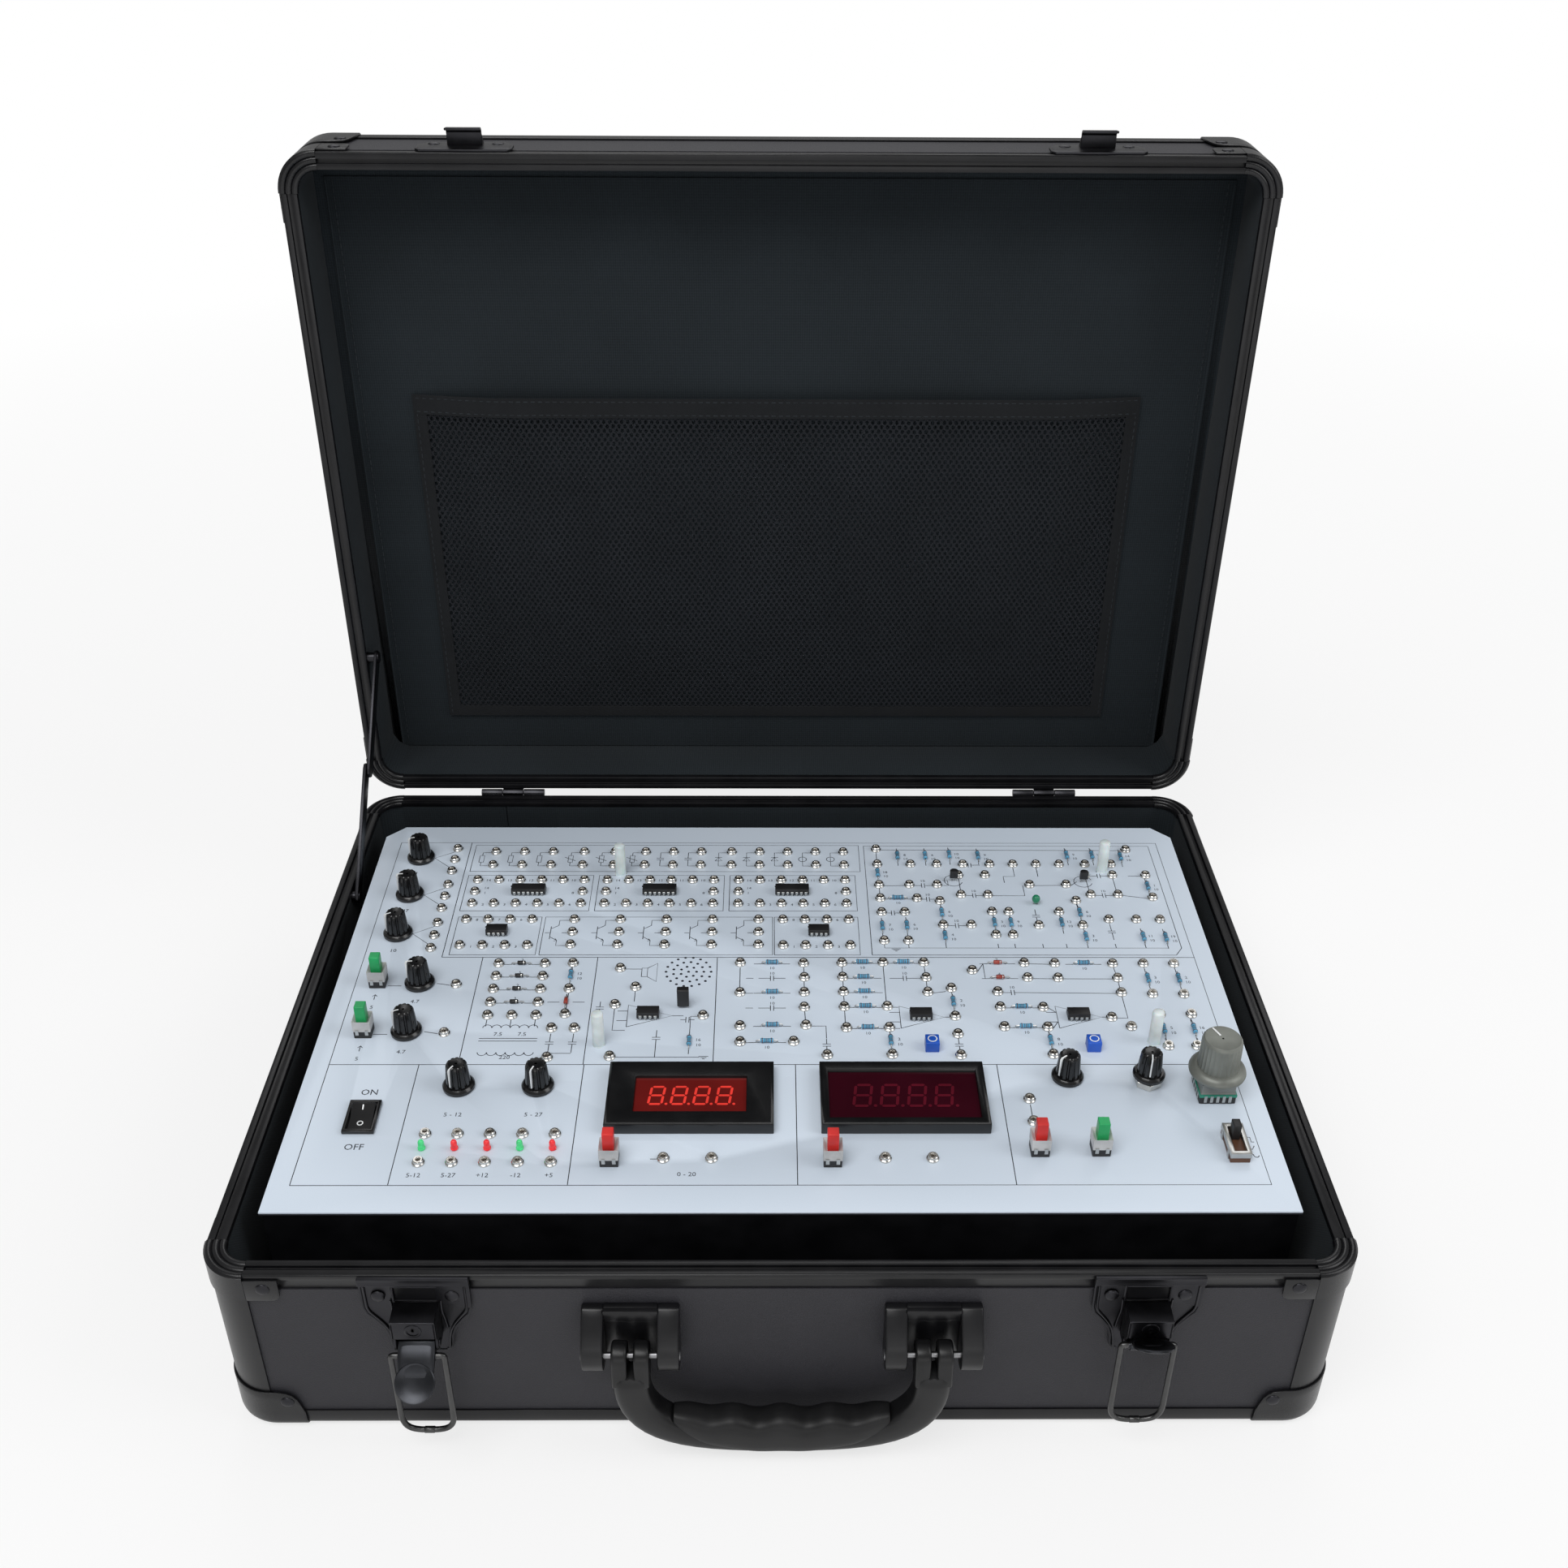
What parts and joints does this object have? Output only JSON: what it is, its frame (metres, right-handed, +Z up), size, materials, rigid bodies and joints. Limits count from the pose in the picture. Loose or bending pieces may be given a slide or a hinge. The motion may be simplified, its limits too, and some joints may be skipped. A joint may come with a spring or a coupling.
{
  "type": "analog electronics trainer",
  "caption": "Electronics training unit with a patch panel, meters, supplies and a signal generator, built into a hinged carrying case with a mesh pocket in its lid.",
  "frame": {"origin": "middle of the plane that the base stands on, under the middle of the base's floor", "axes": "+X to the right of a person at the front, +Y towards the hinges, +Z up; the lid is stored open, upright"},
  "size_m": [0.5002, 0.4447, 0.4832],
  "materials": {
    "boards": "fine-textured dark grey",
    "black_metal": "satin black",
    "lining": "ribbed, very dark green-grey",
    "mesh": "open net",
    "steel": "dull plated",
    "dark_steel": "dark plated",
    "handle": "satin black",
    "panel": "pale blue-white with dark print",
    "nickel": "nickel plated",
    "board_green": "green laminate",
    "black_plastic": "gloss black",
    "dark_plastic": "matte black",
    "meter_window": "dark red filter",
    "standoff": "milky white",
    "components": "pale blue with coloured bands",
    "lamps": "red and green lenses",
    "trimmer": "blue",
    "brass": "plain",
    "copper_core": "varnished laminations",
    "button_red": "red",
    "button_green": "green",
    "selector": "grey-green metallic"
  },
  "bodies": {
    "base": {"base_boards": "boards", "base_frame": "black_metal", "base_corner_caps": "black_metal", "base_lining": "lining", "base_rivets": "dark_steel", "base_hinge_leaves": "dark_steel", "latch_plates": "dark_steel", "handle_mounts": "black_metal", "chassis_box": "black_metal", "panel": "panel", "patch_sockets": "nickel", "supply_terminals": "nickel", "control_bodies": "dark_plastic", "switch_bodies": "black_plastic", "meter_bezels": "black_plastic", "meter_windows": "meter_window", "standoffs": "standoff", "chips": "dark_plastic", "board_components": "components", "supply_lamps": "lamps", "trimmer_bodies": "trimmer", "circuit_board": "board_green", "transformer": "copper_core", "loudspeaker": "dark_steel", "mains_inlet": "black_plastic"},
    "lid": {"lid_boards": "boards", "lid_frame": "black_metal", "lid_corner_caps": "black_metal", "lid_lining": "lining", "lid_mesh_pocket": "mesh", "lid_hasps": "dark_steel", "lid_hinge_leaves": "dark_steel", "lid_rivets": "dark_steel"},
    "stay_lower": {"stay_lower": "dark_steel"},
    "stay_upper": {"stay_upper": "dark_steel"},
    "handle": {"handle": "handle"},
    "latch_lever_left": {"latch_lever_left": "steel"},
    "latch_lever_right": {"latch_lever_right": "steel"},
    "latch_bail_left": {"latch_bail_left": "nickel"},
    "latch_bail_right": {"latch_bail_right": "nickel"},
    "selector_knob": {"selector_knob": "selector"},
    "power_rocker": {"power_rocker": "black_plastic"},
    "waveform_slide": {"waveform_slide": "dark_plastic"},
    "trimmer_screw_1": {"trimmer_screw_1": "brass"},
    "trimmer_screw_2": {"trimmer_screw_2": "brass"},
    "resistance_knob_1": {"resistance_knob_1": "black_plastic"},
    "resistance_knob_2": {"resistance_knob_2": "black_plastic"},
    "resistance_knob_3": {"resistance_knob_3": "black_plastic"},
    "source_knob_1": {"source_knob_1": "black_plastic"},
    "source_knob_2": {"source_knob_2": "black_plastic"},
    "negative_supply_knob": {"negative_supply_knob": "black_plastic"},
    "positive_supply_knob": {"positive_supply_knob": "black_plastic"},
    "amplitude_knob": {"amplitude_knob": "black_plastic"},
    "frequency_knob": {"frequency_knob": "black_plastic"},
    "source_button_1": {"source_button_1": "button_green"},
    "source_button_2": {"source_button_2": "button_green"},
    "voltmeter_button": {"voltmeter_button": "button_red"},
    "frequency_meter_button": {"frequency_meter_button": "button_red"},
    "generator_power_button": {"generator_power_button": "button_red"},
    "attenuation_button": {"attenuation_button": "button_green"}
  },
  "joints": [
    {"name": "lid_hinge", "type": "hinge", "parent": "base", "child": "lid", "pos_m": [0, 0.1875, 0.10015], "axis": [1, 0, 0], "range_deg": [0, 90]},
    {"name": "stay_lower_pivot", "type": "hinge", "parent": "base", "child": "stay_lower", "pos_m": [-0.2365, 0.0887, 0.095], "axis": [1, 0, 0], "range_deg": [-56.61, 0]},
    {"name": "stay_upper_pivot", "type": "hinge", "parent": "lid", "child": "stay_upper", "pos_m": [-0.2344, 0.192, 0.191], "axis": [1, 0, 0], "range_deg": [0, 24.03]},
    {"name": "handle_pivot", "type": "hinge", "parent": "base", "child": "handle", "pos_m": [0, -0.196, 0.0625], "axis": [-1, 0, 0], "range_deg": [0, 90]},
    {"name": "latch_left_lever_pivot", "type": "hinge", "parent": "base", "child": "latch_lever_left", "pos_m": [-0.156, -0.193, 0.0675], "axis": [-1, 0, 0], "range_deg": [-45, 0]},
    {"name": "latch_left_bail_pivot", "type": "hinge", "parent": "latch_lever_left", "child": "latch_bail_left", "pos_m": [-0.156, -0.19689, 0.06361], "axis": [-1, 0, 0], "range_deg": [0, 225]},
    {"name": "latch_right_lever_pivot", "type": "hinge", "parent": "base", "child": "latch_lever_right", "pos_m": [0.156, -0.193, 0.0675], "axis": [-1, 0, 0], "range_deg": [-125, 0]},
    {"name": "latch_right_bail_pivot", "type": "hinge", "parent": "latch_lever_right", "child": "latch_bail_right", "pos_m": [0.156, -0.1975, 0.07065], "axis": [-1, 0, 0], "range_deg": [0, 305]},
    {"name": "resistance_knob_1_turn", "type": "hinge", "parent": "base", "child": "resistance_knob_1", "pos_m": [-0.2058, 0.1185, 0.105], "axis": [0, 0, 1], "range_deg": [-150, 150]},
    {"name": "resistance_knob_2_turn", "type": "hinge", "parent": "base", "child": "resistance_knob_2", "pos_m": [-0.2058, 0.083, 0.105], "axis": [0, 0, 1], "range_deg": [-150, 150]},
    {"name": "resistance_knob_3_turn", "type": "hinge", "parent": "base", "child": "resistance_knob_3", "pos_m": [-0.2058, 0.048, 0.105], "axis": [0, 0, 1], "range_deg": [-150, 150]},
    {"name": "source_knob_1_turn", "type": "hinge", "parent": "base", "child": "source_knob_1", "pos_m": [-0.1868, 0.0065, 0.105], "axis": [0, 0, 1], "range_deg": [-150, 150]},
    {"name": "source_knob_2_turn", "type": "hinge", "parent": "base", "child": "source_knob_2", "pos_m": [-0.1868, -0.031, 0.105], "axis": [0, 0, 1], "range_deg": [-150, 150]},
    {"name": "negative_supply_knob_turn", "type": "hinge", "parent": "base", "child": "negative_supply_knob", "pos_m": [-0.1544, -0.0704, 0.105], "axis": [0, 0, 1], "range_deg": [-150, 150]},
    {"name": "positive_supply_knob_turn", "type": "hinge", "parent": "base", "child": "positive_supply_knob", "pos_m": [-0.1166, -0.0704, 0.105], "axis": [0, 0, 1], "range_deg": [-150, 150]},
    {"name": "amplitude_knob_turn", "type": "hinge", "parent": "base", "child": "amplitude_knob", "pos_m": [0.1386, -0.064, 0.105], "axis": [0, 0, 1], "range_deg": [-150, 150]},
    {"name": "frequency_knob_turn", "type": "hinge", "parent": "base", "child": "frequency_knob", "pos_m": [0.1767, -0.068, 0.105], "axis": [0, 0, 1], "range_deg": [-150, 150]},
    {"name": "selector_knob_turn", "type": "hinge", "parent": "base", "child": "selector_knob", "pos_m": [0.207, -0.074, 0.115], "axis": [0, 0, 1], "range_deg": [-75, 75]},
    {"name": "trimmer_screw_1_turn", "type": "hinge", "parent": "base", "child": "trimmer_screw_1", "pos_m": [0.0747, -0.043, 0.105], "axis": [0, 0, 1], "range_deg": [-130, 130]},
    {"name": "trimmer_screw_2_turn", "type": "hinge", "parent": "base", "child": "trimmer_screw_2", "pos_m": [0.1546, -0.043, 0.105], "axis": [0, 0, 1], "range_deg": [-130, 130]},
    {"name": "source_button_1_press", "type": "slide", "parent": "base", "child": "source_button_1", "axis": [0, 0, -1], "range_m": [0, 0.0025], "stiffness_N_per_m": 400},
    {"name": "source_button_2_press", "type": "slide", "parent": "base", "child": "source_button_2", "axis": [0, 0, -1], "range_m": [0, 0.0025], "stiffness_N_per_m": 400},
    {"name": "voltmeter_button_press", "type": "slide", "parent": "base", "child": "voltmeter_button", "axis": [0, 0, -1], "range_m": [0, 0.0025], "stiffness_N_per_m": 400},
    {"name": "frequency_meter_button_press", "type": "slide", "parent": "base", "child": "frequency_meter_button", "axis": [0, 0, -1], "range_m": [0, 0.0025], "stiffness_N_per_m": 400},
    {"name": "generator_power_button_press", "type": "slide", "parent": "base", "child": "generator_power_button", "axis": [0, 0, -1], "range_m": [0, 0.0025], "stiffness_N_per_m": 400},
    {"name": "attenuation_button_press", "type": "slide", "parent": "base", "child": "attenuation_button", "axis": [0, 0, -1], "range_m": [0, 0.0025], "stiffness_N_per_m": 400},
    {"name": "power_rocker_tilt", "type": "hinge", "parent": "base", "child": "power_rocker", "pos_m": [-0.1963, -0.0918, 0.097], "axis": [1, 0, 0], "range_deg": [-24, 0]},
    {"name": "waveform_slide_move", "type": "slide", "parent": "base", "child": "waveform_slide", "axis": [0, 1, 0], "range_m": [-0.008, 0]}
  ],
  "couplings": [
    {"joint": "stay_lower_pivot", "follows": "lid_hinge", "ratio": -0.629},
    {"joint": "stay_upper_pivot", "follows": "lid_hinge", "ratio": 0.267},
    {"joint": "latch_left_bail_pivot", "follows": "latch_left_lever_pivot", "ratio": -5},
    {"joint": "latch_right_bail_pivot", "follows": "latch_right_lever_pivot", "ratio": -2.44}
  ]
}
